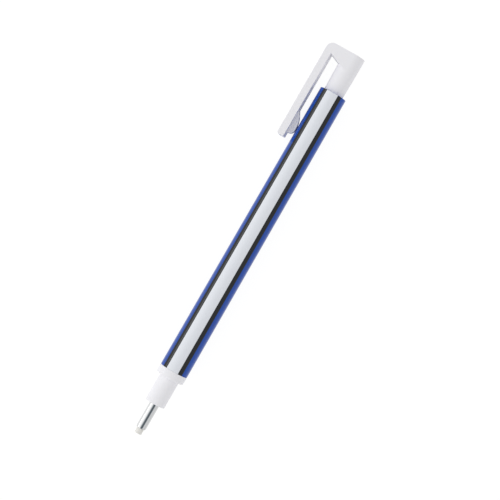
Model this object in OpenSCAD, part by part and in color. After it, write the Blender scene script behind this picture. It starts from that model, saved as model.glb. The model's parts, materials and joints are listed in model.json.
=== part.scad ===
// Push-button eraser holder. The pen lies along X, tip towards -X. The origin is on the axis,
// at the front face of the nose, where the guide pipe leaves it. It rests on a table on its
// barrel and on the lower edge of its clip, which leans down from +Y. Lengths are millimetres.

/* [Eraser core] */
// Diameter of the eraser core
core_d = 2.3; // [2:0.05:2.6]
// Length of a new core
core_len = 86; // [60:1:92]
// Length of core that stands out of the pipe
core_out = 1.7; // [0.6:0.1:5]
// Rounding of the core's end edges
core_edge = 0.12; // [0.05:0.01:0.3]

/* [Guide pipe] */
// Wall of the pipe
pipe_wall = 0.375; // [0.25:0.005:0.45]
// Length of pipe in front of the nose
pipe_out = 8.7; // [5:0.1:12]
// Rounding of the pipe's mouth
pipe_edge = 0.45; // [0.1:0.01:0.5]
// Length of pipe pressed into the nose, up to its flange
pipe_seat = 3.2; // [2:0.1:3.6]
// How much wider the pipe is in its seat, on each side
seat_step = 0.2; // [0.16:0.01:0.25]
// Thickness of the flange at the pipe's rear end
flange_t = 0.8; // [0.5:0.1:1.2]
// How far the flange stands out from the pipe
flange_rim = 0.5; // [0.3:0.05:0.6]

/* [Core retainer] */
// Length of the rubber ring behind the flange
retainer_len = 2.4; // [1.5:0.1:2.6]

/* [Nose] */
// Diameter of the nose sleeve
nose_d = 6.35; // [6.05:0.05:7]
// Length of the nose sleeve
nose_len = 8.95; // [8.4:0.05:12]
// Rounding of the sleeve's front edge
nose_edge = 0.2; // [0.1:0.05:0.6]
// Length of the collar between sleeve and barrel
collar_len = 2.55; // [2:0.1:5]
// Rounding of the collar's front edge
collar_edge = 0.35; // [0.1:0.05:0.6]
// Rounding of the collar where it meets the barrel
collar_seam = 0.1; // [0.05:0.01:0.2]
// Length of the spigot inside the barrel
spigot_len = 7.3; // [6.5:0.05:12]

/* [Barrel] */
// Outer diameter of the collar, and of the barrel's front end
barrel_d = 9; // [8.6:0.1:10]
// Outer diameter of the barrel's rear end
rim_d = 8.6; // [8.4:0.1:9.2]
// Bore of the barrel
barrel_bore = 6.6; // [6.25:0.05:6.8]
// Length of the barrel
barrel_len = 96.4; // [86:0.05:120]
// Length of the straight stretch at each end of the taper
barrel_land = 1; // [0.5:0.1:5]
// Rounding of the barrel's outer end edges
barrel_edge = 0.15; // [0.05:0.01:0.4]

/* [Knock cap] */
// Length of stem that shows between barrel and head
stem_out = 8.8; // [6:0.1:12]
// Length of stem inside the barrel
stem_in = 22; // [12:0.5:28]
// Height of the head, from its underside at the stem to its end face
head_len = 4.5; // [4:0.1:8]
// How far the head's underside rises from the stem to the clip
head_rise = 1.3; // [0:0.1:2]
// Depth of the magazine tube in the stem, past the barrel's end
cap_seat = 2; // [0.5:0.1:4]
// Rounding of the cap's end edges
cap_edge = 0.45; // [0.1:0.05:0.8]

/* [Clip] */
// Distance from the axis to the outer face of the clip
clip_reach = 8.67; // [8:0.01:10]
// Thickness of the clip arm
clip_t = 2.32; // [1.5:0.01:2.6]
// Length of the clip, from the cap's end face to its free end
clip_len = 31.9; // [24:0.1:40]
// Rounding of the outer corner, where the head turns into the clip
clip_corner = 2.2; // [1:0.1:2.5]
// Rounding of the two corners at the free end
clip_tip = 0.5; // [0.2:0.05:0.7]
// Rounding of the clip's long outer edges
clip_edge = 0.3; // [0.1:0.05:0.5]
// Distance from the free end to the crown of the boss
boss_at = 4; // [3:0.1:6]
// Radius of the boss's crown, seen from the side
boss_round = 2; // [1.5:0.05:2.4]
// Length of the boss's slope, from its crown towards the cap
boss_slope = 5.2; // [4:0.1:8]
// Width of the boss
boss_w = 4.6; // [3:0.1:5.5]
// Rounding of the boss's flanks
boss_flank = 1.2; // [0.4:0.1:1.4]
// How far the flat sides of head and clip lie inside the stem's outline
flat_in = 0.05; // [0.03:0.01:0.2]

/* [Chuck] */
// Diameter of the chuck's head
head_d = 4.4; // [4.3:0.05:4.45]
// Length of the head that stands in front of the clutch ring
head_out = 0.8; // [0.4:0.1:0.9]
// Length of the head's straight part inside the ring
head_grip = 0.2; // [0.1:0.05:0.4]
// Length of the head's cone
cone_len = 2; // [1.5:0.1:2.4]
// Wall of the chuck's shank
shank_wall = 0.3; // [0.25:0.01:0.35]
// Length of the shank inside the magazine tube
shank_seat = 4; // [3:0.1:6]
// Width of the slits between the jaws
slit_w = 0.4; // [0.3:0.05:0.6]
// Length of the slits
slit_len = 16; // [8:0.5:19]
// Number of jaws
jaws = 3; // [2:1:4]

/* [Clutch] */
// Length of the clutch ring
ring_len = 3.2; // [2.9:0.1:3.4]
// Wall of the ring at its wide mouth
ring_wall = 0.3; // [0.2:0.01:0.35]
// Thickness of the housing's flange
housing_flange = 1.2; // [0.8:0.1:2]
// Length of the housing's sleeve, behind its flange
housing_len = 16; // [15.5:0.5:24]

/* [Return spring] */
// Wire diameter
wire_d = 0.35; // [0.25:0.05:0.35]
// Mean diameter of the curls
spring_d = 4.3; // [4.25:0.01:4.35]
// Number of curls
spring_curls = 9; // [6:1:10]
// Length of the fitted spring
spring_len = 14; // [13:0.5:15]

/* [Magazine tube] */
// Outer diameter of the tube
magazine_d = 4.4; // [4.3:0.05:4.5]
// How far the spring's seat stands out from the tube
seat_rim = 0.3; // [0.25:0.01:0.35]
// Thickness of the spring's seat
seat_t = 1.2; // [0.8:0.1:2]

/* [Travel] */
// Travel of the knock cap
knock_travel = 4; // [3:0.1:4]
// Travel of the clutch ring before it stops in the nose
ring_travel = 1.2; // [0.6:0.1:1.4]

/* [Clearances] */
// Radial gap between the core and the pipe
core_gap = 0.05; // [0.03:0.01:0.1]
// Radial gap between the core and the gripping faces of chuck and retainer
grip_gap = 0.03; // [0.01:0.01:0.05]
// Radial gap round the core in the shank and the magazine tube
core_room = 0.25; // [0.2:0.01:0.3]
// Radial gap of pressed and screwed seats
seat_gap = 0.025; // [0.01:0.005:0.04]
// Radial gap of the stem in the barrel, and of the magazine tube in the stem
slide_gap = 0.075; // [0.02:0.005:0.1]
// Radial gap round the clutch ring, in its cone and round the spring's seat
ring_gap = 0.1; // [0.06:0.01:0.12]
// Radial gap round the chuck's head, where its jaws open
jaw_gap = 0.25; // [0.2:0.01:0.3]
// Radial gap round the shank in the clutch housing
shank_gap = 0.25; // [0.2:0.01:0.3]
// Gap between faces that only meet at the end of a travel
face_gap = 0.05; // [0.02:0.01:0.1]
// Gap between the retainer and the chuck, pushed fully in
chuck_gap = 0.6; // [0.3:0.1:1]
// Gap between the clip's boss and the barrel
boss_gap = 0.1; // [0.05:0.01:0.3]
// Height of the clip's lower edge above the table
table_gap = 0.03; // [0:0.01:0.2]

/* [Hidden] */

// Roundness of turned faces and of small corners, and the overrun of a cut
FINE = 96;
ARC = 48;
OVER = 1;
// Largest share of a wall that the rounding of its edge takes
EDGE_SHARE = 0.9;

// Radii, from the core outwards
core_r = core_d / 2;
grip_r = core_r + grip_gap;
core_room_r = core_r + core_room;
pipe_bore_r = core_r + core_gap;
pipe_r = pipe_bore_r + pipe_wall;
pipe_seat_r = pipe_r + seat_step;
pipe_hole_r = pipe_seat_r + seat_gap;
flange_r = pipe_r + flange_rim;
pocket_r = flange_r + seat_gap;
shank_r = core_room_r + shank_wall;
head_r = head_d / 2;
chuck_room_r = head_r + jaw_gap;
ring_bore_r = shank_r + ring_gap;
ring_mouth_r = head_r + ring_gap;
ring_r = ring_mouth_r + ring_wall;
ring_room_r = ring_r + ring_gap;
housing_front_r = ring_room_r - seat_gap;
housing_bore_r = shank_r + shank_gap;
magazine_r = magazine_d / 2;
spring_seat_r = magazine_r + seat_rim;
housing_room_r = spring_seat_r + ring_gap;
bore_r = barrel_bore / 2;
spigot_r = bore_r - seat_gap;
stem_r = bore_r - slide_gap;
stem_bore_r = magazine_r + slide_gap;
nose_r = nose_d / 2;
barrel_r = barrel_d / 2;
rim_r = rim_d / 2;

// Stations along X, from the tip to the cap
mouth_x = -pipe_out;
core_x = mouth_x - core_out;
flange_x = pipe_seat;
retainer_x = flange_x + flange_t;
chuck_room_x = retainer_x + retainer_len;
collar_x = nose_len;
barrel_x = collar_x + collar_len;
spigot_end = barrel_x + spigot_len;
chuck_x = chuck_room_x + chuck_gap + knock_travel;
ring_x = chuck_x + head_out;
cone_x = ring_x + head_grip;
cone_end = cone_x + cone_len;
ring_room_x = ring_x - ring_travel;
ring_end = ring_x + ring_len;
housing_x = ring_end + face_gap;
spring_x = spigot_end + housing_flange;
magazine_x = spring_x + spring_len;
chuck_end = magazine_x + shank_seat;
rim_x = barrel_x + barrel_len;
stem_x = rim_x - stem_in;
magazine_end = rim_x + cap_seat;
head_x = rim_x + stem_out;
cap_end = head_x + head_len;

// Clip and boss, drawn with the clip straight out along +Y
clip_x = cap_end - clip_len;
clip_in = clip_reach - clip_t;
clip_half = stem_r - flat_in;
boss_x = clip_x + boss_at;
taper = (barrel_r - rim_r) / (barrel_len - 2 * barrel_land);
boss_y = rim_r + taper * (rim_x - barrel_land - boss_x) + boss_gap;
boss_top = clip_in + clip_t / 2;
boss_centre = [boss_x, boss_y + boss_round];
boss_end = [boss_x + boss_slope, clip_in];

// The cap is turned until the clip's rounded lower edge stands just above the table
edge_y = clip_reach - clip_edge;
edge_z = clip_half - clip_edge;
lean = asin((rim_r - table_gap - clip_edge) / norm([edge_y, edge_z])) - atan(edge_z / edge_y);

// The spring's wire is a tube with this many rings to a curl and sides to a ring
RINGS = 8;
SIDES = 6;
spring_rings = RINGS * spring_curls + 1;
wire_r = wire_d / 2;
coil_r = spring_d / 2;
spring_from = spring_x + wire_r + face_gap;
spring_to = magazine_x - wire_r - face_gap;
spring_pitch = (spring_to - spring_from) / spring_curls;
// Slope of the wire, from a plane across the axis
wire_slope = atan(spring_pitch / (360 * coil_r * PI / 180));

// Turns an outline about the X axis: its first coordinate is the radius, its second is X
module turned() {
    rotate([0, 90, 0]) rotate_extrude($fn = FINE) children();
}

// Outline of a ring from radius r0 to r1, between the stations x0 and x1
module band(r0, r1, x0, x1) {
    translate([r0, x0]) square([r1 - r0, x1 - x0]);
}

// What comes off a square corner at [a, b]; da and db are 1 or -1, pointing into the solid
module corner(a, b, da, db, round) {
    difference() {
        translate([a - (da > 0 ? OVER : round), b - (db > 0 ? OVER : round)]) square(round + OVER);
        translate([a + da * round, b + db * round]) circle(round, $fn = ARC);
    }
}

// The striped tube, a little thinner towards the cap
module barrel() {
    color("royalblue") turned() difference() {
        polygon([
            [bore_r, barrel_x], [barrel_r, barrel_x], [barrel_r, barrel_x + barrel_land],
            [rim_r, rim_x - barrel_land], [rim_r, rim_x], [bore_r, rim_x]
        ]);
        corner(barrel_r, barrel_x, -1, 1, barrel_edge);
        corner(rim_r, rim_x, -1, -1, barrel_edge);
    }
}

// Sleeve, collar and spigot in one, with steps inside for the pipe, the jaws and the ring
module nose() {
    color("white") turned() difference() {
        union() {
            band(core_r, nose_r, 0, collar_x + collar_edge);
            band(core_r, barrel_r, collar_x, barrel_x);
            band(core_r, spigot_r, barrel_x - OVER, spigot_end);
        }
        band(0, pipe_hole_r, -OVER, flange_x + OVER);
        band(0, pocket_r, flange_x, chuck_room_x + OVER);
        band(0, chuck_room_r, chuck_room_x, ring_room_x + OVER);
        band(0, ring_room_r, ring_room_x, spigot_end + OVER);
        corner(nose_r, 0, -1, 1, nose_edge);
        corner(barrel_r, collar_x, -1, 1, collar_edge);
        corner(barrel_r, barrel_x, -1, -1, collar_seam);
    }
}

// The bright pipe, with a wider seat pressed into the nose and a flange behind it
module guide_pipe() {
    color("silver") turned() difference() {
        union() {
            band(pipe_bore_r, pipe_r, mouth_x, flange_x);
            band(pipe_bore_r, pipe_seat_r, 0, retainer_x);
            band(pipe_bore_r, flange_r, flange_x, retainer_x);
        }
        corner(pipe_r, mouth_x, -1, 1, min(pipe_edge, EDGE_SHARE * pipe_wall));
    }
}

// The rubber ring that holds the core while the chuck is open
module core_retainer() {
    color("dimgray") turned() band(grip_r, pocket_r - seat_gap, retainer_x, chuck_room_x);
}

// The round eraser
module eraser_core() {
    color("ivory") turned() difference() {
        band(0, core_r, core_x, core_x + core_len);
        corner(core_r, core_x, -1, 1, core_edge);
        corner(core_r, core_x + core_len, -1, -1, core_edge);
    }
}

// The collet: a straight head, a cone and a thin shank, slit into jaws from the front
module chuck() {
    color("goldenrod") difference() {
        turned() difference() {
            union() {
                band(0, head_r, chuck_x, cone_x);
                polygon([[0, cone_x], [head_r, cone_x], [shank_r, cone_end], [0, cone_end]]);
                band(0, shank_r, cone_end, chuck_end);
            }
            band(0, grip_r, chuck_x - OVER, cone_end + OVER);
            band(0, core_room_r, cone_end, chuck_end + OVER);
        }
        for (jaw = [0 : jaws - 1])
            rotate([360 * jaw / jaws, 0, 0])
                translate([chuck_x - OVER, 0, -slit_w / 2]) cube([slit_len + OVER, head_r + OVER, slit_w]);
    }
}

// The ring whose mouth fits the chuck's cone
module clutch_ring() {
    color("darkgoldenrod") turned() difference() {
        band(ring_bore_r, ring_r, ring_x, ring_end);
        polygon([
            [0, ring_x - OVER], [ring_mouth_r, ring_x - OVER], [ring_mouth_r, cone_x],
            [ring_bore_r, cone_end], [0, cone_end]
        ]);
    }
}

// The sleeve behind the nose: a front tube for the ring to bear on, a flange and the spring's room
module clutch_housing() {
    color("lightgray") turned() difference() {
        union() {
            band(housing_bore_r, housing_front_r, housing_x, spigot_end + housing_flange);
            band(housing_bore_r, spigot_r, spigot_end, spring_x + housing_len);
        }
        band(0, housing_room_r, spring_x, spring_x + housing_len + OVER);
    }
}

// Point and ring of the spring's wire, counted from its front end
function coil_point(i, r) = [
    spring_from + (spring_to - spring_from) * i / (spring_rings - 1),
    r * cos(360 * i / RINGS),
    r * sin(360 * i / RINGS)
];
function wire_ring(i) = [
    for (k = [0 : SIDES - 1])
        let (a = 360 * k / SIDES, out = wire_r * cos(a), side = wire_r * sin(a))
            coil_point(i, coil_r + out)
                + side * [cos(wire_slope), sin(wire_slope) * sin(360 * i / RINGS),
                    -sin(wire_slope) * cos(360 * i / RINGS)]
];

// The compression spring round the shank, one unbroken tube
module return_spring() {
    rings = [for (i = [0 : spring_rings - 1]) each wire_ring(i)];
    last = SIDES * (spring_rings - 1);
    walls = [
        for (i = [0 : spring_rings - 2], k = [0 : SIDES - 1])
            let (a = SIDES * i + k, b = SIDES * i + (k + 1) % SIDES)
                each [[a, b, b + SIDES], [a, b + SIDES, a + SIDES]]
    ];
    front = [for (k = [1 : SIDES - 2]) [0, k + 1, k]];
    back = [for (k = [1 : SIDES - 2]) [last, last + k, last + k + 1]];
    color("lightsteelblue") polyhedron(points = rings, faces = concat(walls, front, back));
}
least_gap = min([
    for (i = [0 : spring_rings - 1], j = [i + RINGS / 2 : 1 : spring_rings - 1])
        norm(coil_point(i, coil_r) - coil_point(j, coil_r))
]) - wire_d;
echo(spring_least_gap = least_gap);

// The inner tube, with the spring's seat and the chuck's socket at its front
module magazine_tube() {
    color("gainsboro") turned() difference() {
        union() {
            band(0, magazine_r, magazine_x, magazine_end);
            band(0, spring_seat_r, magazine_x, magazine_x + seat_t);
        }
        band(0, shank_r + seat_gap, magazine_x - OVER, chuck_end);
        band(0, core_room_r, magazine_x, magazine_end + OVER);
    }
}

// Side view of head and clip arm
module clip_side() {
    rise = head_rise / (clip_in - stem_r);
    difference() {
        union() {
            polygon([
                [head_x - rise * stem_r, 0], [cap_end, 0], [cap_end, clip_reach],
                [head_x + head_rise, clip_reach], [head_x + head_rise, clip_in]
            ]);
            translate([clip_x, clip_in]) square([cap_end - clip_corner - clip_x, clip_t]);
        }
        corner(cap_end, clip_reach, -1, -1, clip_corner);
        corner(clip_x, clip_reach, 1, -1, clip_tip);
        corner(clip_x, clip_in, 1, 1, clip_tip);
    }
}

// End view of head and clip arm: first coordinate along Y, second along Z
module clip_section() {
    difference() {
        translate([0, -clip_half]) square([clip_reach, 2 * clip_half]);
        for (side = [-1, 1]) corner(clip_reach, side * clip_half, -1, -side, clip_edge);
    }
}

// Plan of head and clip arm: first coordinate along X, second along Z
module clip_plan() {
    difference() {
        translate([clip_x, -clip_half]) square([clip_len, 2 * clip_half]);
        for (side = [-1, 1]) {
            corner(cap_end, side * clip_half, -1, -side, cap_edge);
            corner(clip_x, side * clip_half, 1, -side, clip_edge);
        }
    }
}

module head_and_arm() {
    intersection() {
        linear_extrude(2 * stem_r, center = true) clip_side();
        translate([clip_x - OVER, 0, 0])
            rotate([90, 0, 90]) linear_extrude(clip_len + 2 * OVER) clip_section();
        translate([0, -OVER, 0])
            rotate([-90, 0, 0]) linear_extrude(clip_reach + 2 * OVER) clip_plan();
    }
}

// The boss under the arm: a round crown with a slope towards the cap, and rounded flanks
module boss() {
    reach = boss_end - boss_centre;
    turn = atan2(reach[1], reach[0]) - acos(boss_round / norm(reach));
    touch = boss_centre + boss_round * [cos(turn), sin(turn)];
    intersection() {
        linear_extrude(boss_w, center = true) union() {
            translate(boss_centre) circle(boss_round, $fn = FINE);
            polygon([boss_centre, touch, boss_end, [boss_end[0], boss_top], [boss_x, boss_top]]);
        }
        translate([clip_x, 0, 0]) rotate([90, 0, 90]) linear_extrude(clip_len) difference() {
            translate([boss_y - OVER / 2, -boss_w / 2]) square([boss_top - boss_y + OVER / 2, boss_w]);
            for (side = [-1, 1]) corner(boss_y, side * boss_w / 2, 1, -side, boss_flank);
        }
    }
}

// Stem, head, clip and boss in one, with the stem bored for the magazine tube
module knock_clip() {
    color("whitesmoke") rotate([-lean, 0, 0]) difference() {
        union() {
            turned() difference() {
                band(0, stem_r, stem_x, cap_end);
                corner(stem_r, cap_end, -1, -1, cap_edge);
            }
            head_and_arm();
            boss();
        }
        turned() band(0, stem_bore_r, stem_x - OVER, magazine_end + face_gap);
    }
}

barrel();
nose();
guide_pipe();
core_retainer();
eraser_core();
chuck();
clutch_ring();
clutch_housing();
return_spring();
magazine_tube();
knock_clip();
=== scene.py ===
"""A push-button eraser holder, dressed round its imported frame, with its stage and camera.

The pen lies along X with its tip towards -X, its axis on the X axis and its clip towards +Y.
Settings hold metres, as the frame does. Meshes are modelled in millimetres, because bevels lose
edges that are a tenth of a millimetre long in metres, and are brought to metres at the end.
"""

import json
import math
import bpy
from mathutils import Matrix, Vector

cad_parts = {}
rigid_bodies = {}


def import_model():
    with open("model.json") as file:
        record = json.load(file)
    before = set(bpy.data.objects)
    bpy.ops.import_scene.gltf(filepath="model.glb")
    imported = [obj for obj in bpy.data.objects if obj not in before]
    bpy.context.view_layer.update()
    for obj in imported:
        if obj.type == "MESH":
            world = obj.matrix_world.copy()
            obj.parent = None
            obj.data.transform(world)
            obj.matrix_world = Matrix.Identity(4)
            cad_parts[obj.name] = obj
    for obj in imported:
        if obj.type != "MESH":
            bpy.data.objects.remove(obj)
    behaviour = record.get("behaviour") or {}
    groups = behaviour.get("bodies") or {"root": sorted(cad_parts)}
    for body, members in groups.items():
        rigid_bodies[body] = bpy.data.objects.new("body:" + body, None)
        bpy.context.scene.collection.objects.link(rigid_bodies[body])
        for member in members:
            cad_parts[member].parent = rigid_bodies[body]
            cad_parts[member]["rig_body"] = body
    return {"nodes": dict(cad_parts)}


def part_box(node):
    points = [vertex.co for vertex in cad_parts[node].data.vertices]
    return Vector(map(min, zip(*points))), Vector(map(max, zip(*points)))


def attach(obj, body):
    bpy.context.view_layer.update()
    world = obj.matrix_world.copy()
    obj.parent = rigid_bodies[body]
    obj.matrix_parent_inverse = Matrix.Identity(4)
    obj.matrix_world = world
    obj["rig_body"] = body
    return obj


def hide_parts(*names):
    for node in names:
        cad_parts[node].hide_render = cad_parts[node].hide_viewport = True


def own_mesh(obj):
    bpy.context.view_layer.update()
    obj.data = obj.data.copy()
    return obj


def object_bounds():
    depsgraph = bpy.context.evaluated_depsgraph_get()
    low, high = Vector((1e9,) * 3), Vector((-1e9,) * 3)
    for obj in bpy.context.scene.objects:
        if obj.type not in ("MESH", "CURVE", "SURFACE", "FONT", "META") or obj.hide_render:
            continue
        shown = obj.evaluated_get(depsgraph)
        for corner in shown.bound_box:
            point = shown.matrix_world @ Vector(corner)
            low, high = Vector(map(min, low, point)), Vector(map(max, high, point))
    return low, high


bl_info = {
    "name": "Push-button eraser holder",
    "version": (1, 0, 0),
    "blender": (4, 5, 0),
    "location": "View3D > Sidebar > Eraser holder",
    "description": "Dresses the packed holder: barrel, nose, pipe, eraser, knock cap and spring",
    "category": "Object",
}

from types import SimpleNamespace

import bmesh
import bpy
from bpy.props import FloatProperty, FloatVectorProperty, IntProperty, PointerProperty
from mathutils import Matrix, Vector

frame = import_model()
cad_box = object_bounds()

MM = 0.001
QUARTER_TURN = math.radians(90)
# Steps round a turned piece
TURN_STEPS = 128
# Steps in a rounding, in one that hardly shows, and in one of the boss's long ones
ROUND_STEPS = 6
FEW_STEPS = 3
BOSS_STEPS = 12
# Sides of the spring's wire, and steps along one of its curls
WIRE_SIDES = 12
CURL_STEPS = 48
# Sharper edges than this aren't smoothed over
SMOOTH_ANGLE = math.radians(35)
# Vertices closer than this, in millimetres, are one
MERGE_MM = 1e-4
# A face's normal this close to an axis counts as square to it
SQUARE = 0.01

# Most of a noise's values lie between these
NOISE_LOW = 0.3
NOISE_HIGH = 0.7
# Softness of a stripe's edge, and how far it wanders, as turns about the axis in radians
INK_EDGE = 0.006
INK_WANDER = 0.004
# Width of the print's fade at the barrel's ends, in millimetres
PRINT_FADE = 0.02

# The photograph's frame, and the camera's sensor in millimetres and nearest sight in metres
FRAME_PIXELS = 500
SENSOR_MM = 36.0
NEAREST = 0.01
WHITE_LIGHT = (1.0, 1.0, 1.0, 1.0)
# The floor's grey where it throws light back at the pen, and where the camera sees its shadow
FLOOR_THROWS = 0.6
FLOOR_SHADED = 0.12
# Light that the floor seems to give off to the camera, before its shaded grey is added
FLOOR_SHOWN = 0.93
# Painted shade in what gloss sees of the floor: how bright it is across the pen and beyond its tip,
# which are multiplied:
# from, to, both in millimetres, and the light at each
FLOOR_SHADE_ACROSS = (-30.0, 0.0, 0.56, 0.78)
FLOOR_SHADE_BEYOND = (-30.0, -15.0, 0.5, 1.0)
# Soft lamps, in metres: where each stands, how large it is and where all of them look
LAMP_PLACES = {
    "key": (0.05, 0.75, 0.45),
    "fill": (0.05, -0.75, 0.35),
    "front": (-0.75, 0.0, 0.45),
}
LAMP_SIZE = (1.0, 0.6)
LAMP_TARGET = (0.055, 0.0, 0.0)
# What gloss reflects across the pen: degrees right of straight up, seen from the tip, and colour
STUDIO_GLOSS = (
    (-180, (0.9, 0.9, 0.9)),
    (-90, (1.0, 1.0, 1.0)),
    (-80, (1.0, 1.0, 1.0)),
    (-79, (2.6, 2.6, 2.6)),
    (-72, (2.6, 2.6, 2.6)),
    (-71, (1.1, 1.1, 1.1)),
    (-35, (1.05, 1.05, 1.05)),
    (-9, (0.31, 0.34, 0.37)),
    (-1, (0.105, 0.125, 0.14)),
    (29, (0.095, 0.115, 0.13)),
    (36, (0.33, 0.35, 0.37)),
    (42, (0.65, 0.66, 0.67)),
    (118, (0.7, 0.7, 0.7)),
    (180, (0.9, 0.9, 0.9)),
)


def box_mm(node):
    """Lowest and highest corner of a CAD node, in millimetres."""
    low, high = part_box(node)
    return low / MM, high / MM


BARREL = box_mm("barrel")
NOSE = box_mm("nose")
PIPE = box_mm("guide_pipe")
RETAINER = box_mm("core_retainer")
CORE = box_mm("eraser_core")
HOUSING = box_mm("clutch_housing")
SPRING = box_mm("return_spring")
MAGAZINE = box_mm("magazine_tube")
KNOCK = box_mm("knock_clip")


# Settings

def length(label, text, millimetres):
    """A length that a user may change."""
    return FloatProperty(
        name=label, description=text, default=millimetres * MM, precision=5, unit="LENGTH"
    )


def angle(label, text, degrees):
    """An angle that a user may change."""
    return FloatProperty(
        name=label, description=text, default=math.radians(degrees), subtype="ANGLE"
    )


def amount(label, text, value, most=1.0):
    """A plain number that a user may change."""
    return FloatProperty(name=label, description=text, default=value, min=0.0, max=most)


def colour(label, text, value):
    """A colour that a user may change."""
    return FloatVectorProperty(
        name=label, description=text, default=value, size=3, min=0.0, max=1.0, subtype="COLOR"
    )


def in_mm(settings):
    """The settings' lengths in millimetres, the unit that the meshes are modelled in."""
    found = {
        prop.identifier: getattr(settings, prop.identifier) / MM
        for prop in settings.bl_rna.properties
        if prop.type == "FLOAT" and prop.unit == "LENGTH"
    }
    return SimpleNamespace(**found)


class BarrelSettings(bpy.types.PropertyGroup):
    """The striped tube."""

    rim_r: length("Rear radius", "Radius of the barrel's rear end", 4.3)
    bore_r: length("Bore radius", "Radius of the barrel's bore", 3.3)
    land: length("Land", "Straight stretch at each end of the taper", 1.0)
    lip: length("Lip", "Rounding of the outer end edges", 0.15)
    bore_lip: length("Bore lip", "Rounding of the bore's edges", 0.08)
    stripe_turn: angle("Stripe turn", "From straight up to the middle of a white stripe", 7.0)
    white_half: angle("White half", "Half the width of a white stripe", 25.5)
    black_end: angle("Black end", "From a white stripe's middle to its black edge's far side", 45.0)
    bare_rear: length("Bare rear", "Width of the unprinted ring at the rear end", 0.04)
    blue: colour("Blue", "Colour of the ground", (0.003, 0.064, 0.4))
    white: colour("White", "Colour of the stripes", (0.83, 0.857, 0.91))
    black: colour("Black", "Colour of the stripes' edges", (0.0035, 0.0042, 0.0048))


class NoseSettings(bpy.types.PropertyGroup):
    """Sleeve, collar and spigot."""

    sleeve_r: length("Sleeve radius", "Radius of the sleeve", 3.175)
    sleeve_len: length("Sleeve length", "Length of the sleeve in front of the collar", 8.95)
    front_round: length("Front rounding", "Rounding of the sleeve's front edge", 0.12)
    collar_round: length("Collar rounding", "Rounding of the collar's front edge", 0.35)
    collar_seam: length("Collar seam", "Rounding of the collar where it meets the barrel", 0.1)
    fillet: length("Fillet", "Fillet between sleeve and collar", 0.12)
    pocket_gap: length("Pocket gap", "Gap round the pipe's flange", 0.025)
    jaw_room_r: length("Jaw room", "Radius of the room round the chuck's head", 2.45)
    ring_room_r: length("Ring room", "Radius of the room round the clutch ring", 2.7)
    ring_room_x: length("Ring step", "Where the clutch ring stops", 10.6)
    white: colour("White", "Colour of the white mouldings", (0.91, 0.906, 0.94))


class PipeSettings(bpy.types.PropertyGroup):
    """The bright guide pipe."""

    outer_r: length("Outer radius", "Radius of the pipe in front of the nose", 1.575)
    bore_r: length("Bore radius", "Radius of the pipe's bore", 1.2)
    seat_r: length("Seat radius", "Radius of the pipe inside the nose", 1.775)
    seat_len: length("Seat length", "Length of the pipe inside the nose, up to its flange", 3.2)
    rim_w: length("Rim width", "Width of the mouth's flat rim", 0.12)
    rim_edge: length("Rim edge", "Rounding of the rim's outer edge", 0.08)
    bore_edge: length("Bore edge", "Rounding of the bore's edge at the mouth", 0.03)
    shoulder_at: length("Shoulder", "From the mouth back to its shoulder", 0.2)
    shoulder_in: length("Shoulder depth", "How far the shoulder lies inside the outer face", 0.05)
    shoulder_round: length("Shoulder rounding", "Rounding of the shoulder", 0.12)
    curl_at: length("Curl", "From the mouth back to where the pipe is straight", 0.8)
    curl_round: length("Curl rounding", "Rounding where the curl meets the straight pipe", 0.3)
    flange_edge: length("Flange edge", "Rounding of the flange's rear edge", 0.05)
    metal: colour("Metal", "Colour of the polished metal", (0.86, 0.865, 0.87))


class EraserSettings(bpy.types.PropertyGroup):
    """The eraser core."""

    edge: length("Edge", "Rounding of the end edges", 0.14)
    vinyl: colour("Vinyl", "Colour of the eraser", (0.835, 0.825, 0.79))
    dust: colour("Dust", "Colour of the fine specks on it", (0.45, 0.44, 0.42))


class KnockSettings(bpy.types.PropertyGroup):
    """Stem, head, clip and boss, one moulding."""

    clip_reach: length("Clip reach", "From the axis to the clip's outer face", 8.71)
    clip_t: length("Clip thickness", "Thickness of the clip arm", 2.27)
    clip_len: length("Clip length", "From the cap's end face to the clip's free end", 31.9)
    head_len: length("Head length", "From the head's underside at the stem to the end face", 4.5)
    head_rise: length("Head rise", "How far the underside rises from stem to clip", 1.3)
    corner: length("Corner", "Rounding where the head turns into the clip", 2.2)
    tip: length("Tip", "Rounding of the free end's outer corner", 0.45)
    tip_inner: length("Inner tip", "Rounding of the free end's inner corner", 0.3)
    edge: length("Edge", "Rounding of the outer edges", 0.15)
    inner_edge: length("Inner edge", "Rounding of the edges round the clip's opening", 0.15)
    cad_edge: length("CAD edge", "Rounding of the CAD clip's long edges", 0.3)
    stem_r: length("Stem radius", "Radius of the stem where it leaves the barrel", 3.15)
    head_r: length("Head radius", "Radius of the stem where it runs into the head", 3.29)
    flat_in: length("Flat", "How far the flat sides lie inside the head's outline", 0.012)
    cad_half: length("CAD half width", "Half the width of the CAD clip", 3.175)
    cad_reach: length("CAD reach", "From the axis to the CAD clip's outer face", 8.67)
    bore_r: length("Bore radius", "Radius of the stem's bore, for the magazine tube", 2.275)
    bore_end: length("Bore end", "Gap past the magazine tube's end", 0.05)
    boss_front: length("Boss front", "From the free end to the boss", 1.7)
    boss_crown: length("Boss crown", "From the axis to the boss's crown", 4.43)
    crown_end: length("Crown end", "From the free end to the end of the crown", 5.9)
    boss_end: length("Boss end", "From the free end to the end of the boss's slope", 9.7)
    boss_nose: length("Boss nose", "Rounding of the boss's front", 1.7)
    boss_back: length("Boss back", "Rounding between crown and slope, along each", 1.9)
    boss_w: length("Boss width", "Width of the boss", 2.6)
    boss_flank: length("Boss flank", "Rounding of the boss's flanks", 0.3)


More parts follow.
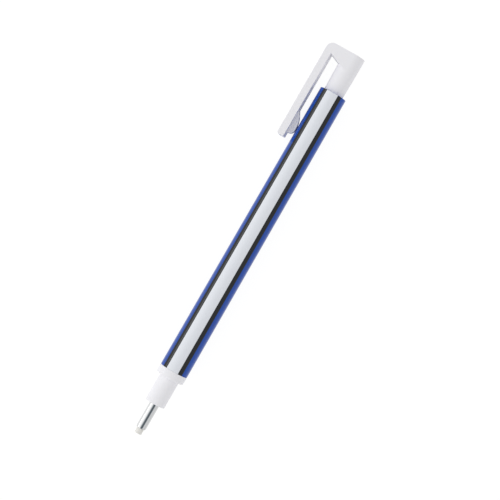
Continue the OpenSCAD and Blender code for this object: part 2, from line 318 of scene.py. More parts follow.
class SpringSettings(bpy.types.PropertyGroup):
    """The return spring's coil and steel."""

    wire_r: length("Wire radius", "Radius of the wire", 0.175)
    curls: IntProperty(name="Curls", description="Number of curls", default=9, min=1)
    travel: length("Travel", "How far the knock cap presses the spring", 4.0)
    seat_x: length("Seat", "Where the spring's fixed end bears on the clutch housing", 20.0)
    rear_x: length("Rear", "Where the spring's moving end bears on the magazine tube", 34.0)
    steel: colour("Steel", "Bright colour of the wire", (0.62, 0.63, 0.65))
    steel_dark: colour("Dark steel", "Its colour under mill scale", (0.4, 0.41, 0.43))


class InnerSettings(bpy.types.PropertyGroup):
    """Finishes of the other pieces inside the barrel."""

    brass: colour("Brass", "Bright colour of chuck and clutch ring", (0.8, 0.62, 0.3))
    brass_dark: colour("Dark brass", "Their colour where they are tarnished", (0.62, 0.45, 0.18))
    plastic: colour("Plastic", "Pale colour of housing and magazine tube", (0.78, 0.78, 0.77))
    plastic_dark: colour("Dark plastic", "The colour of their flow streaks", (0.68, 0.69, 0.7))
    rubber: colour("Rubber", "Colour of the retainer", (0.012, 0.012, 0.013))
    rubber_bloom: colour("Rubber bloom", "The retainer's powdery patches", (0.035, 0.035, 0.036))


class StageSettings(bpy.types.PropertyGroup):
    """Camera, floor and studio light."""

    distance: length("Distance", "From the camera to the pen's axis", 500.0)
    scale: amount("Scale", "Pixels of the photograph to a millimetre at the pen", 3.311, 10.0)
    rise: angle("Rise", "Angle of the pen's axis above the frame's horizontal", 60.04)
    tilt: angle("Tilt", "How far the camera leans towards the clip", 1.6)
    foot_x: length("Foot", "Point on the axis that the camera stands square over", 63.1)
    aim_x: length("Aim", "Point on the axis level with the frame's centre", 54.6)
    aim_side: length("Aim side", "From the axis to the frame's centre, away from the clip", 1.74)
    floor_size: length("Floor", "Side of the floor", 3000.0)
    key: amount("Key", "Strength of the soft lamp on the clip's side", 2.5, 100.0)
    fill: amount("Fill", "Strength of the soft lamp on the other side", 0.45, 100.0)
    front: amount("Front", "Strength of the soft lamp beyond the tip", 0.8, 100.0)
    sky: amount("Sky", "Strength of the surroundings for diffuse light", 0.65)
    glow: amount("Glow", "Light that the brightly lit floor throws up at the pen", 0.42)


# Meshes

def round_corners(mesh, corners, outline, steps=ROUND_STEPS):
    """Rounds the corners of a flat outline, each by the last number that the outline gives it."""
    for vertex, (_, _, rounding) in zip(corners, outline):
        if rounding > 0:
            bmesh.ops.bevel(
                mesh, geom=[vertex], offset=rounding, offset_type="OFFSET", segments=steps,
                profile=0.5, affect="VERTICES", material=-1, clamp_overlap=True,
            )


def turned(outline):
    """A closed solid turned about X. outline holds (x, radius, rounding) for each corner."""
    mesh = bmesh.new()
    corners = [mesh.verts.new((x, 0.0, radius)) for x, radius, _ in outline]
    mesh.faces.new(corners)
    round_corners(mesh, corners, outline)
    bmesh.ops.delete(mesh, geom=list(mesh.faces), context="FACES_ONLY")
    on_axis = [e for e in mesh.edges if max(v.co.z for v in e.verts) < MERGE_MM]
    bmesh.ops.delete(mesh, geom=on_axis, context="EDGES")
    bmesh.ops.spin(
        mesh, geom=list(mesh.verts) + list(mesh.edges), cent=(0, 0, 0), axis=(1, 0, 0),
        dvec=(0, 0, 0), angle=math.tau, steps=TURN_STEPS, use_merge=True,
        use_normal_flip=False, use_duplicate=False,
    )
    bmesh.ops.remove_doubles(mesh, verts=list(mesh.verts), dist=MERGE_MM)
    bmesh.ops.recalc_face_normals(mesh, faces=list(mesh.faces))
    return mesh


def prism(outline, half, steps=ROUND_STEPS):
    """A side view in X and Y, pulled out to both sides. outline holds (x, y, rounding)."""
    mesh = bmesh.new()
    corners = [mesh.verts.new((x, y, -half)) for x, y, _ in outline]
    mesh.faces.new(corners)
    round_corners(mesh, corners, outline, steps)
    pulled = bmesh.ops.extrude_face_region(mesh, geom=list(mesh.faces))
    moved = [g for g in pulled["geom"] if isinstance(g, bmesh.types.BMVert)]
    bmesh.ops.translate(mesh, verts=moved, vec=(0, 0, 2 * half))
    bmesh.ops.recalc_face_normals(mesh, faces=list(mesh.faces))
    return mesh


def soften(mesh, wanted, rounding, steps=ROUND_STEPS):
    """Rounds the square edges round a prism's two side faces where wanted(x, y) says so."""
    mesh.normal_update()
    edges = []
    for edge in mesh.edges:
        slopes = sorted(abs(face.normal.z) for face in edge.link_faces)
        middle = (edge.verts[0].co + edge.verts[1].co) / 2
        if slopes[0] < SQUARE and slopes[1] > 1 - SQUARE and wanted(middle.x, middle.y):
            edges.append(edge)
    bmesh.ops.bevel(
        mesh, geom=edges, offset=rounding, offset_type="OFFSET", segments=steps, profile=0.5,
        affect="EDGES", material=-1, clamp_overlap=True,
    )


def as_object(mesh, name):
    """An object that holds the bmesh, which is freed."""
    data = bpy.data.meshes.new(name)
    mesh.to_mesh(data)
    mesh.free()
    made = bpy.data.objects.new(name, data)
    bpy.context.scene.collection.objects.link(made)
    return made


def joined(first, others):
    """One closed mesh from closed meshes that run into each other; the parts are removed."""
    body = as_object(first, "joining")
    tools = [as_object(mesh, "joining_tool") for mesh in others]
    for tool in tools:
        union = body.modifiers.new("union", "BOOLEAN")
        union.operation = "UNION"
        union.solver = "EXACT"
        union.object = tool
    shapes = bpy.context.evaluated_depsgraph_get()
    data = bpy.data.meshes.new_from_object(body.evaluated_get(shapes))
    mesh = bmesh.new()
    mesh.from_mesh(data)
    for made in [body] + tools:
        old = made.data
        bpy.data.objects.remove(made)
        bpy.data.meshes.remove(old)
    bpy.data.meshes.remove(data)
    bmesh.ops.remove_doubles(mesh, verts=list(mesh.verts), dist=MERGE_MM)
    bmesh.ops.recalc_face_normals(mesh, faces=list(mesh.faces))
    return mesh


def finish_piece(mesh, name, material, node):
    """Brings a mesh from millimetres to metres and puts it in the place of a CAD node."""
    bmesh.ops.scale(mesh, vec=(MM, MM, MM), verts=list(mesh.verts))
    piece = as_object(mesh, name)
    piece.data.materials.append(material)
    piece.data.shade_smooth()
    piece.data.set_sharp_from_angle(angle=SMOOTH_ANGLE)
    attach(piece, frame["nodes"][node]["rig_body"])
    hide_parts(node)
    return piece


def repaint(node, material):
    """Gives a CAD node that keeps its own mesh a material."""
    for slot in frame["nodes"][node].material_slots:
        slot.material = material


# Materials

class Graph:
    """Adds nodes to one node tree and links them."""

    def __init__(self, tree):
        self.tree = tree

    def add(self, kind, inputs, **settings):
        """A node of this kind; inputs maps a socket's name or number to a value or a socket."""
        node = self.tree.nodes.new("ShaderNode" + kind)
        for name, value in settings.items():
            setattr(node, name, value)
        for name, value in inputs.items():
            if isinstance(value, bpy.types.NodeSocket):
                self.tree.links.new(value, node.inputs[name])
            else:
                node.inputs[name].default_value = value
        return node

    def place(self):
        """Object coordinates, in millimetres."""
        coordinates = self.add("TexCoord", {}).outputs["Object"]
        scaled = self.add("VectorMath", {0: coordinates, "Scale": 1 / MM}, operation="SCALE")
        return scaled.outputs["Vector"]

    def axis(self, place, name):
        """One coordinate of a place."""
        return self.add("SeparateXYZ", {0: place}).outputs[name]

    def maths(self, operation, *values):
        """The result of one operation of arithmetic."""
        return self.add("Math", dict(enumerate(values)), operation=operation).outputs[0]

    def noise(self, inputs, **settings):
        """A grey noise; on a place in millimetres, its scale is in patches to a millimetre."""
        return self.add("TexNoise", inputs, **settings).outputs["Fac"]

    def rings(self, place, scale, detail):
        """A noise that changes along the axis only, as the marks of turning do."""
        inputs = {"W": self.axis(place, "X"), "Scale": scale, "Detail": detail}
        return self.noise(inputs, noise_dimensions="1D")

    def ramp(self, value, low, high, new_low=0.0, new_high=1.0):
        """The value, mapped from one range to another and held there."""
        inputs = {"Value": value, 1: low, 2: high, 3: new_low, 4: new_high}
        return self.add("MapRange", inputs).outputs["Result"]

    def spread(self, noise, low, high):
        """A noise, with most of its values spread from low to high."""
        return self.ramp(noise, NOISE_LOW, NOISE_HIGH, low, high)

    def scale(self, value, stops):
        """A colour read off a scale; stops holds (place from 0 to 1, colour)."""
        node = self.add("ValToRGB", {"Fac": value})
        found = node.color_ramp.elements
        found[0].position, found[0].color = stops[0]
        found[1].position, found[1].color = stops[-1]
        for place, shade in stops[1:-1]:
            found.new(place).color = shade
        return node.outputs["Color"]

    def mix(self, share, first, second):
        """A colour between two colours."""
        inputs = {0: share, 6: first, 7: second}
        return self.add("Mix", inputs, data_type="RGBA").outputs[2]

    def mottle(self, noise, shade, dark, light):
        """A colour that a noise makes darker and lighter, by a share each."""
        return self.mix(noise, rgba(shade, dark), rgba(shade, light))

    def bump(self, height, depth_mm, strength, normal=None):
        """A bump of that depth, on a normal that may have one already."""
        inputs = {"Height": height, "Distance": depth_mm * MM, "Strength": strength}
        if normal is not None:
            inputs["Normal"] = normal
        return self.add("Bump", inputs).outputs["Normal"]

    def glowing(self, grey, strength):
        """A matt grey that also gives off white light."""
        matt = self.add("BsdfDiffuse", {"Color": (grey, grey, grey, 1.0)}).outputs[0]
        light = self.add("Emission", {"Color": WHITE_LIGHT, "Strength": strength}).outputs[0]
        return self.add("AddShader", {0: matt, 1: light}).outputs[0]

    def feed(self, shader, patterns):
        """Joins patterns to the shader's sockets; patterns maps a socket's name to each."""
        for name, pattern in patterns.items():
            self.tree.links.new(pattern, shader.inputs[name])


def rgba(shade, share=1.0):
    """A colour with an alpha, made lighter or darker by a share."""
    return (shade[0] * share, shade[1] * share, shade[2] * share, 1.0)


def surface(name, settings):
    """A new material, its node graph and its shader, with the shader's plain settings made."""
    material = bpy.data.materials.new(name)
    material.use_nodes = True
    shader = material.node_tree.nodes["Principled BSDF"]
    for socket, value in settings.items():
        shader.inputs[socket].default_value = value
    return material, Graph(material.node_tree), shader


def barrel_gloss(look):
    """Printed gloss plastic: blue, with two lengthwise white stripes edged in black."""
    material, graph, shader = surface("barrel_gloss", {"IOR": 1.5, "Specular IOR Level": 0.5})
    place = graph.place()
    along = graph.axis(place, "X")
    turn = graph.maths("ARCTAN2", graph.axis(place, "Y"), graph.axis(place, "Z"))
    from_middle = graph.maths("SUBTRACT", turn, look.stripe_turn)
    # Turn from the nearest stripe's middle, with a printed edge that wanders a little
    fold = graph.maths("PINGPONG", from_middle, math.pi / 2)
    wander = graph.noise({"Vector": place, "Scale": 1.6, "Detail": 4.0})
    wander = graph.ramp(wander, 0.0, 1.0, -INK_WANDER, INK_WANDER)
    fold = graph.maths("ADD", fold, wander)
    to_black = graph.ramp(fold, look.white_half - INK_EDGE, look.white_half + INK_EDGE)
    to_blue = graph.ramp(fold, look.black_end - INK_EDGE, look.black_end + INK_EDGE)
    ink = graph.noise({"Vector": place, "Scale": 5.0, "Detail": 3.0})
    blue = graph.mottle(ink, look.blue, dark=0.94, light=1.06)
    white = graph.mottle(ink, look.white, dark=0.985, light=1.01)
    black = graph.mottle(ink, look.black, dark=0.9, light=1.1)
    printed = graph.mix(to_blue, graph.mix(to_black, white, black), blue)
    # The print stops just short of the tube's cut ends, which show the blue plastic
    bare_front, bare_rear = BARREL[0].x, BARREL[1].x - in_mm(look).bare_rear
    at_front = graph.ramp(along, bare_front + PRINT_FADE, bare_front)
    at_rear = graph.ramp(along, bare_rear - PRINT_FADE, bare_rear)
    bare = graph.maths("MAXIMUM", at_front, at_rear)
    # Handling has dulled the gloss in faint patches; the tube was drawn, so fine lines run along it
    patches = graph.noise({"Vector": place, "Scale": 0.18, "Detail": 5.0, "Roughness": 0.6})
    stretched = graph.maths("MULTIPLY", along, 0.02)
    drawn = graph.add("CombineXYZ", {0: stretched, 1: turn, 2: 0.0}).outputs[0]
    lines = graph.noise({"Vector": drawn, "Scale": 60.0, "Detail": 2.0})
    skin = graph.noise({"Vector": place, "Scale": 0.9, "Detail": 1.0})
    waved = graph.bump(skin, depth_mm=0.002, strength=0.5)
    graph.feed(shader, {
        "Base Color": graph.mix(bare, printed, blue),
        "Roughness": graph.spread(patches, low=0.07, high=0.13),
        "Normal": graph.bump(lines, depth_mm=0.0003, strength=0.5, normal=waved),
    })
    return material


def white_moulding(look):
    """Satin white plastic with the fine grain of its mould."""
    material, graph, shader = surface("white_moulding", {
        "IOR": 1.5,
        "Subsurface Weight": 0.04,
        "Subsurface Radius": (1.0, 0.95, 0.9),
        "Subsurface Scale": 0.6 * MM,
    })
    place = graph.place()
    cloud = graph.noise({"Vector": place, "Scale": 0.25, "Detail": 4.0})
    grain = graph.noise({"Vector": place, "Scale": 9.0, "Detail": 3.0, "Roughness": 0.65})
    waves = graph.noise({"Vector": place, "Scale": 0.8, "Detail": 1.0})
    waved = graph.bump(waves, depth_mm=0.002, strength=0.5)
    graph.feed(shader, {
        "Base Color": graph.mottle(cloud, look.white, dark=0.985, light=1.01),
        "Roughness": graph.spread(grain, low=0.6, high=0.72),
        "Normal": graph.bump(grain, depth_mm=0.0006, strength=0.6, normal=waved),
    })
    return material


def polished_pipe(look):
    """Bright metal, turned and polished, with faint rings from the lathe."""
    material, graph, shader = surface("pipe_metal", {"Metallic": 1.0})
    place = graph.place()
    rings = graph.rings(place, scale=14.0, detail=3.0)
    wipes = graph.noise({"Vector": place, "Scale": 0.8, "Detail": 6.0, "Roughness": 0.7})
    wiped = graph.ramp(wipes, 0.35, 0.75, 0.06, 0.12)
    graph.feed(shader, {
        "Base Color": graph.mottle(wipes, look.metal, dark=0.95, light=1.03),
        "Roughness": graph.maths("ADD", graph.spread(rings, low=0.0, high=0.04), wiped),
        "Normal": graph.bump(rings, depth_mm=0.0003, strength=0.4),
    })
    return material


def eraser_vinyl(look):
    """Off-white vinyl: matt, a little waxy, with a fine crumbly grain."""
    material, graph, shader = surface("eraser", {
        "IOR": 1.45,
        "Subsurface Weight": 0.1,
        "Subsurface Radius": (1.0, 0.95, 0.85),
        "Subsurface Scale": 0.6 * MM,
    })
    place = graph.place()
    cloud = graph.noise({"Vector": place, "Scale": 1.5, "Detail": 5.0})
    vinyl = graph.mottle(cloud, look.vinyl, dark=0.975, light=1.02)
    specks = graph.noise({"Vector": place, "Scale": 12.0, "Detail": 2.0})
    dusty = graph.ramp(specks, 0.7, 0.8, 0.0, 0.12)
    crumb = graph.noise({"Vector": place, "Scale": 6.0, "Detail": 6.0, "Roughness": 0.7})
    graph.feed(shader, {
        "Base Color": graph.mix(dusty, vinyl, rgba(look.dust)),
        "Roughness": graph.spread(specks, low=0.55, high=0.75),
        "Normal": graph.bump(crumb, depth_mm=0.003, strength=0.6),
    })
    return material


def turned_brass(look):
    """Brass with the fine rings of turning."""
    material, graph, shader = surface("clutch_brass", {"Metallic": 1.0})
    place = graph.place()
    rings = graph.rings(place, scale=11.0, detail=4.0)
    tarnish = graph.noise({"Vector": place, "Scale": 0.9, "Detail": 5.0})
    graph.feed(shader, {
        "Base Color": graph.mix(tarnish, rgba(look.brass_dark), rgba(look.brass)),
        "Roughness": graph.spread(rings, low=0.22, high=0.36),
        "Normal": graph.bump(rings, depth_mm=0.003, strength=0.6),
    })
    return material


def inner_plastic(look):
    """Natural, slightly see-through white plastic of the inner tubes, with streaks of flow."""
    material, graph, shader = surface("inner_plastic", {
        "IOR": 1.48,
        "Subsurface Weight": 0.35,
        "Subsurface Scale": 1.5 * MM,
    })
    flow = graph.add("Mapping", {"Vector": graph.place(), "Scale": (0.08, 1.0, 1.0)}).outputs[0]
    streaks = graph.noise({"Vector": flow, "Scale": 1.2, "Detail": 4.0})
    graph.feed(shader, {
        "Base Color": graph.mix(streaks, rgba(look.plastic_dark), rgba(look.plastic)),
        "Roughness": graph.spread(streaks, low=0.4, high=0.52),
        "Normal": graph.bump(streaks, depth_mm=0.004, strength=0.5),
    })
    return material


def retainer_rubber(look):
    """Dark rubber with a powdery bloom."""
    material, graph, shader = surface("retainer_rubber", {"IOR": 1.5, "Sheen Weight": 0.1})
    place = graph.place()
    bloom = graph.noise({"Vector": place, "Scale": 3.0, "Detail": 6.0, "Roughness": 0.7})
    graph.feed(shader, {
        "Base Color": graph.mix(bloom, rgba(look.rubber), rgba(look.rubber_bloom)),
        "Roughness": graph.spread(bloom, low=0.7, high=0.88),
        "Normal": graph.bump(bloom, depth_mm=0.01, strength=0.6),
    })
    return material


def spring_wire(look):
    """Hard-drawn steel wire, bright with faint mill scale."""
    material, graph, shader = surface("spring_steel", {"Metallic": 1.0})
    place = graph.place()
    mill = graph.noise({"Vector": place, "Scale": 5.0, "Detail": 5.0, "Roughness": 0.65})
    graph.feed(shader, {
        "Base Color": graph.mix(mill, rgba(look.steel_dark), rgba(look.steel)),
        "Roughness": graph.spread(mill, low=0.24, high=0.4),
        "Normal": graph.bump(mill, depth_mm=0.002, strength=0.5),
    })
    return material


def shared_white(scene):
    """The white of nose and knock cap, made once; the frame has a plain one named by its slot."""
    return bpy.data.materials.get("white_moulding") or white_moulding(scene.holder_nose)


# Pieces

class HOLDER_OT_barrel(bpy.types.Operator):
    """Makes the striped tube, a little thinner towards the cap"""

    bl_idname = "holder.barrel"
    bl_label = "Barrel"

    def execute(self, context):
        look = context.scene.holder_barrel
        size = in_mm(look)
        start, end, front_r = BARREL[0].x, BARREL[1].x, BARREL[1].z
        outline = [
            (start, size.bore_r, size.bore_lip),
            (start, front_r, size.lip),
            (start + size.land, front_r, 0),
            (end - size.land, size.rim_r, 0),
            (end, size.rim_r, size.lip),
            (end, size.bore_r, size.bore_lip),
        ]
        finish_piece(turned(outline), "barrel_tube", barrel_gloss(look), "barrel")
        return {"FINISHED"}


class HOLDER_OT_nose(bpy.types.Operator):
    """Makes the sleeve, collar and spigot, with the steps inside them"""

    bl_idname = "holder.nose"
    bl_label = "Nose"

    def execute(self, context):
        size = in_mm(context.scene.holder_nose)
        pipe = in_mm(context.scene.holder_pipe)
        hole_r = pipe.seat_r + size.pocket_gap
        pocket_r = PIPE[1].z + size.pocket_gap
        collar_r = NOSE[1].z
        spigot_r = HOUSING[1].z
        barrel_x = BARREL[0].x
        outline = [
            (0, hole_r, 0),
            (0, size.sleeve_r, size.front_round),
            (size.sleeve_len, size.sleeve_r, size.fillet),
            (size.sleeve_len, collar_r, size.collar_round),
            (barrel_x, collar_r, size.collar_seam),
            (barrel_x, spigot_r, 0),
            (NOSE[1].x, spigot_r, size.collar_seam),
            (NOSE[1].x, size.ring_room_r, 0),
            (size.ring_room_x, size.ring_room_r, 0),
            (size.ring_room_x, size.jaw_room_r, 0),
            (RETAINER[1].x, size.jaw_room_r, 0),
            (RETAINER[1].x, pocket_r, 0),
            (pipe.seat_len, pocket_r, 0),
            (pipe.seat_len, hole_r, 0),
        ]
        white = shared_white(context.scene)
        finish_piece(turned(outline), "nose_moulding", white, "nose")
        return {"FINISHED"}


class HOLDER_OT_guide_pipe(bpy.types.Operator):
    """Makes the bright pipe, its rounded mouth, its seat and its flange"""

    bl_idname = "holder.guide_pipe"
    bl_label = "Guide pipe"

    def execute(self, context):
        look = context.scene.holder_pipe
        size = in_mm(look)
        mouth, end, flange_r = PIPE[0].x, PIPE[1].x, PIPE[1].z
        outline = [
            (mouth, size.bore_r, size.bore_edge),
            (mouth, size.bore_r + size.rim_w, size.rim_edge),
            (mouth + size.shoulder_at, size.outer_r - size.shoulder_in, size.shoulder_round),
            (mouth + size.curl_at, size.outer_r, size.curl_round),
            (0, size.outer_r, 0),
            (0, size.seat_r, 0),
            (size.seat_len, size.seat_r, 0),
            (size.seat_len, flange_r, 0),
            (end, flange_r, size.flange_edge),
            (end, size.bore_r, 0),
        ]
        finish_piece(turned(outline), "pipe_tube", polished_pipe(look), "guide_pipe")
        return {"FINISHED"}


class HOLDER_OT_eraser(bpy.types.Operator):
    """Makes the round eraser core"""

    bl_idname = "holder.eraser"
    bl_label = "Eraser core"

    def execute(self, context):
        look = context.scene.holder_eraser
        size = in_mm(look)
        tip, end, radius = CORE[0].x, CORE[1].x, CORE[1].z
        outline = [(tip, 0, 0), (tip, radius, size.edge), (end, radius, size.edge), (end, 0, 0)]
        finish_piece(turned(outline), "eraser_stick", eraser_vinyl(look), "eraser_core")
        return {"FINISHED"}


def clip_lean(size):
    """How far the clip leans down from +Y, so that the CAD clip's lower edge is where it is."""
    edge_y = size.cad_reach - size.cad_edge
    edge_z = size.cad_half - size.cad_edge
    drop = -KNOCK[0].z - size.cad_edge
    return math.asin(drop / math.hypot(edge_y, edge_z)) - math.atan2(edge_z, edge_y)


def clip_arm(size):
    """Head and clip arm, from the side, with rounded edges."""
    cap_end = KNOCK[1].x
    tip_x = cap_end - size.clip_len
    inner = size.clip_reach - size.clip_t
    head_x = cap_end - size.head_len
    slope = size.head_rise / (inner - size.head_r)
    half = size.head_r - size.flat_in
    mesh = prism(
        [
            (head_x - slope * size.head_r, 0, 0),
            (cap_end, 0, 0),
            (cap_end, size.clip_reach, size.corner),
            (tip_x, size.clip_reach, size.tip),
            (tip_x, inner, size.tip_inner),
            (head_x + size.head_rise, inner, 0),
        ],
        half,
    )
    middle = size.clip_reach - size.clip_t / 2

    def outer(x, y):
        at_ends = x > cap_end - size.corner or x < tip_x + size.tip_inner
        return y > middle or (at_ends and y > MERGE_MM)

    def inside(x, y):
        return not outer(x, y) and y > MERGE_MM

    soften(mesh, outer, size.edge)
    soften(mesh, inside, size.inner_edge, FEW_STEPS)
    return mesh


def clip_boss(size):
    """The boss under the arm: a rounded nose, a crown, and a curved slope towards the cap."""
    tip_x = KNOCK[1].x - size.clip_len
    inner = size.clip_reach - size.clip_t
    middle = inner + size.clip_t / 2
    half = size.boss_w / 2
    mesh = prism(
        [
            (tip_x + size.boss_front, middle, 0),
            (tip_x + size.boss_front, size.boss_crown, size.boss_nose),
            (tip_x + size.crown_end, size.boss_crown, size.boss_back),
            (tip_x + size.boss_end, inner, 0),
            (tip_x + size.boss_end, middle, 0),
        ],
        half,
        BOSS_STEPS,
    )
    soften(mesh, lambda x, y: y < inner, size.boss_flank)
    return mesh


class HOLDER_OT_knock_clip(bpy.types.Operator):
    """Makes the knock cap: stem, head, clip arm and boss in one"""

    bl_idname = "holder.knock_clip"
    bl_label = "Knock cap and clip"

    def execute(self, context):
        size = in_mm(context.scene.holder_knock)
        cap_end = KNOCK[1].x
        bore_end = MAGAZINE[1].x + size.bore_end
        stem = turned([
            (KNOCK[0].x, size.bore_r, 0),
            (KNOCK[0].x, size.stem_r, size.inner_edge),
            (BARREL[1].x, size.stem_r, 0),
            (cap_end - size.head_len, size.head_r, 0),
            (cap_end, size.head_r, size.edge),
            (cap_end, 0, 0),
            (bore_end, 0, 0),
            (bore_end, size.bore_r, 0),
        ])
        mesh = joined(stem, [clip_arm(size), clip_boss(size)])
        lean = Matrix.Rotation(-clip_lean(size), 4, "X")
        bmesh.ops.transform(mesh, matrix=lean, verts=list(mesh.verts))
        white = shared_white(context.scene)
        piece = finish_piece(mesh, "knock_cap", white, "knock_clip")
        evened = piece.modifiers.new("evened", "WEIGHTED_NORMAL")
        evened.keep_sharp = True
        return {"FINISHED"}


class HOLDER_OT_spring(bpy.types.Operator):
    """Makes the return spring"""

    bl_idname = "holder.spring"
    bl_label = "Return spring"

    def execute(self, context):
        look = context.scene.holder_spring
        size = in_mm(look)
        coil_r = SPRING[1].z - size.wire_r
        first, last = SPRING[0].x + size.wire_r, SPRING[1].x - size.wire_r
        steps = CURL_STEPS * look.curls
        # The circle faces along the wire, which starts out towards +Y
        facing = Matrix.Rotation(QUARTER_TURN, 3, "Z") @ Matrix.Rotation(QUARTER_TURN, 3, "Y")
        mesh = bmesh.new()
        bmesh.ops.create_circle(mesh, cap_ends=True, radius=size.wire_r, segments=WIRE_SIDES)
        bmesh.ops.rotate(mesh, verts=list(mesh.verts), cent=(0, 0, 0), matrix=facing)
        bmesh.ops.translate(mesh, verts=list(mesh.verts), vec=(first, 0, coil_r))
        bmesh.ops.spin(
            mesh, geom=list(mesh.verts) + list(mesh.edges) + list(mesh.faces), cent=(0, 0, 0),
            axis=(1, 0, 0), dvec=((last - first) / steps, 0, 0), angle=math.tau * look.curls,
            steps=steps, use_merge=False, use_normal_flip=False, use_duplicate=False,
        )
        bmesh.ops.recalc_face_normals(mesh, faces=list(mesh.faces))
        steel = spring_wire(look)
        piece = finish_piece(mesh, "spring_coil", steel, "return_spring")
        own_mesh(piece)
        return {"FINISHED"}


class HOLDER_OT_inner_parts(bpy.types.Operator):
    """Gives the pieces inside the barrel their finishes"""

    bl_idname = "holder.inner_parts"
    bl_label = "Inner parts"

    def execute(self, context):
        look = context.scene.holder_inner
        brass = turned_brass(look)
        plastic = inner_plastic(look)
        repaint("chuck", brass)
        repaint("clutch_ring", brass)
        repaint("clutch_housing", plastic)
        repaint("magazine_tube", plastic)
        repaint("core_retainer", retainer_rubber(look))
        return {"FINISHED"}


# Stage

def shown_white(graph, plain, lit):
    """A shader that is lit for rays that look at it, and plain for the light that it gives."""
    path = graph.add("LightPath", {}).outputs
    looks = graph.maths("MAXIMUM", path["Is Camera Ray"], path["Is Glossy Ray"])
    looks = graph.maths("MAXIMUM", looks, path["Is Transmission Ray"])
    return graph.add("MixShader", {0: looks, 1: plain, 2: lit}).outputs[0]


def floor_paint(glow):
    """A pale floor that looks white, keeps a soft shadow, throws light up, and shows painted shade
    in gloss.
    """
    material = bpy.data.materials.new("floor_paint")
    material.use_nodes = True
    graph = Graph(material.node_tree)
    graph.tree.nodes.remove(graph.tree.nodes["Principled BSDF"])
    plain = graph.glowing(FLOOR_THROWS, glow)
    # Painted shade: gloss sees the floor darker on the side away from the clip and beyond the tip
    place = graph.place()
    across = graph.ramp(graph.axis(place, "Y"), *FLOOR_SHADE_ACROSS)
    beyond = graph.ramp(graph.axis(place, "X"), *FLOOR_SHADE_BEYOND)
    gloss_light_with_painted_shade = graph.maths("MULTIPLY", across, beyond)
    glossy = graph.add("LightPath", {}).outputs["Is Glossy Ray"]
    lit = graph.glowing(FLOOR_SHADED, graph.ramp(glossy, 0.0, 1.0, FLOOR_SHOWN, gloss_light_with_painted_shade))
    out = graph.tree.nodes["Material Output"]
    graph.tree.links.new(shown_white(graph, plain, lit), out.inputs["Surface"])
    return material


def studio_sky(strength):
    """White to the camera; a studio with a dark gap overhead in what metal and gloss reflect."""
    world = bpy.data.worlds.new("studio")
    bpy.context.scene.world = world
    world.use_nodes = True
    graph = Graph(world.node_tree)
    graph.tree.nodes.remove(graph.tree.nodes["Background"])
    plain = graph.add("Background", {"Color": WHITE_LIGHT, "Strength": strength})
    direction = graph.add("TexCoord", {}).outputs["Generated"]
    side = graph.maths("MULTIPLY", graph.axis(direction, "Y"), -1.0)
    turn = graph.maths("ARCTAN2", side, graph.axis(direction, "Z"))
    round_trip = graph.ramp(turn, -math.pi, math.pi)
    stops = [((degrees + 180) / 360, rgba(shade)) for degrees, shade in STUDIO_GLOSS]
    reflected = graph.scale(round_trip, stops)
    path = graph.add("LightPath", {}).outputs
    seen = graph.mix(path["Is Glossy Ray"], WHITE_LIGHT, reflected)
    lit = graph.add("Background", {"Color": seen, "Strength": 1.0})
    out = graph.tree.nodes["World Output"]
    shader = shown_white(graph, plain.outputs[0], lit.outputs[0])
    graph.tree.links.new(shader, out.inputs["Surface"])


def soft_lamp(name, power):
    """A soft lamp that looks at the pen and is seen neither directly nor in gloss."""
    lamp = bpy.data.lights.new(name, "AREA")
    lamp.shape = "RECTANGLE"
    lamp.size, lamp.size_y = LAMP_SIZE
    lamp.energy = power
    made = bpy.data.objects.new(name, lamp)
    bpy.context.scene.collection.objects.link(made)
    made.location = LAMP_PLACES[name]
    ahead = Vector(LAMP_TARGET) - Vector(LAMP_PLACES[name])
    made.rotation_euler = ahead.to_track_quat("-Z", "Y").to_euler()
    made.visible_camera = False
    made.visible_glossy = False


def place_camera(stage):
    """Looks down at the pen, which rises to the right across the frame."""
    along = Vector((1, 0, 0))
    back = Vector((0, math.sin(stage.tilt), math.cos(stage.tilt)))
    aside = along.cross(back)
    right = math.cos(stage.rise) * along + math.sin(stage.rise) * aside
    up = math.sin(stage.rise) * along - math.cos(stage.rise) * aside
    foot = stage.foot_x * along
    aim = stage.aim_x * along + stage.aim_side * aside
    place = foot + stage.distance * back
    # The frame keeps its turn while the camera swings a little to aim at the frame's centre
    back = (place - aim).normalized()
    right = (right - right.dot(back) * back).normalized()
    up = back.cross(right)
    lens = bpy.data.cameras.new("camera")
    focal_pixels = stage.scale / MM * stage.distance
    lens.sensor_width = SENSOR_MM
    lens.lens = SENSOR_MM * focal_pixels / FRAME_PIXELS
    lens.clip_start = NEAREST
    camera = bpy.data.objects.new("camera", lens)
    bpy.context.scene.collection.objects.link(camera)
    turn = Matrix((right, up, back)).transposed().to_4x4()
    camera.matrix_world = Matrix.Translation(place) @ turn
    bpy.context.scene.camera = camera


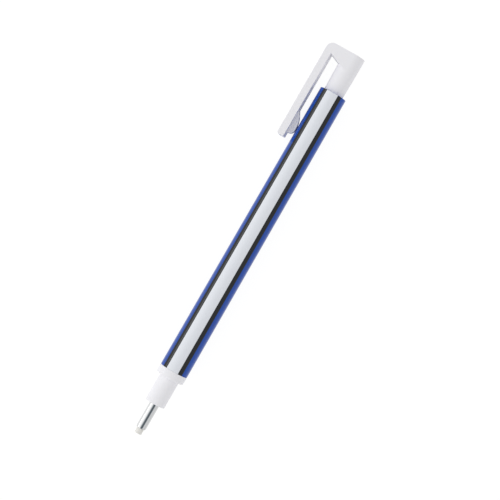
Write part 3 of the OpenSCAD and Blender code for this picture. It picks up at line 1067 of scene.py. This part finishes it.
class HOLDER_OT_stage(bpy.types.Operator):
    """Sets the camera, the floor and the studio light"""

    bl_idname = "holder.stage"
    bl_label = "Stage"

    def execute(self, context):
        stage = context.scene.holder_stage
        place_camera(stage)
        mesh = bmesh.new()
        bmesh.ops.create_grid(mesh, x_segments=1, y_segments=1, size=stage.floor_size / 2)
        bmesh.ops.translate(mesh, verts=list(mesh.verts), vec=(0, 0, cad_box[0].z))
        floor = as_object(mesh, "floor")
        floor.data.materials.append(floor_paint(stage.glow))
        studio_sky(stage.sky)
        soft_lamp("key", stage.key)
        soft_lamp("fill", stage.fill)
        soft_lamp("front", stage.front)
        context.scene.view_settings.view_transform = "Standard"
        return {"FINISHED"}


# Interface

PIECE_OPERATORS = (
    HOLDER_OT_barrel,
    HOLDER_OT_nose,
    HOLDER_OT_guide_pipe,
    HOLDER_OT_eraser,
    HOLDER_OT_knock_clip,
    HOLDER_OT_spring,
    HOLDER_OT_inner_parts,
    HOLDER_OT_stage,
)
SETTINGS = {
    "holder_barrel": BarrelSettings,
    "holder_nose": NoseSettings,
    "holder_pipe": PipeSettings,
    "holder_eraser": EraserSettings,
    "holder_knock": KnockSettings,
    "holder_spring": SpringSettings,
    "holder_inner": InnerSettings,
    "holder_stage": StageSettings,
}


class HOLDER_PT_pieces(bpy.types.Panel):
    """Lists the pieces and their settings"""

    bl_idname = "HOLDER_PT_pieces"
    bl_label = "Eraser holder"
    bl_space_type = "VIEW_3D"
    bl_region_type = "UI"
    bl_category = "Eraser holder"

    def draw(self, context):
        for operator in PIECE_OPERATORS:
            self.layout.operator(operator.bl_idname)
        for name in SETTINGS:
            settings = getattr(context.scene, name)
            box = self.layout.box()
            box.label(text=settings.bl_rna.description)
            for prop in settings.bl_rna.properties:
                if prop.identifier not in ("rna_type", "name"):
                    box.prop(settings, prop.identifier)


def register():
    for name, group in SETTINGS.items():
        bpy.utils.register_class(group)
        setattr(bpy.types.Scene, name, PointerProperty(type=group))
    for operator in PIECE_OPERATORS:
        bpy.utils.register_class(operator)
    bpy.utils.register_class(HOLDER_PT_pieces)


def unregister():
    bpy.utils.unregister_class(HOLDER_PT_pieces)
    for operator in reversed(PIECE_OPERATORS):
        bpy.utils.unregister_class(operator)
    for name, group in SETTINGS.items():
        delattr(bpy.types.Scene, name)
        bpy.utils.unregister_class(group)


def main():
    register()
    bpy.ops.holder.barrel()
    bpy.ops.holder.nose()
    bpy.ops.holder.guide_pipe()
    bpy.ops.holder.eraser()
    bpy.ops.holder.knock_clip()
    bpy.ops.holder.spring()
    bpy.ops.holder.inner_parts()
    bpy.ops.holder.stage()


if __name__ == "__main__":
    main()
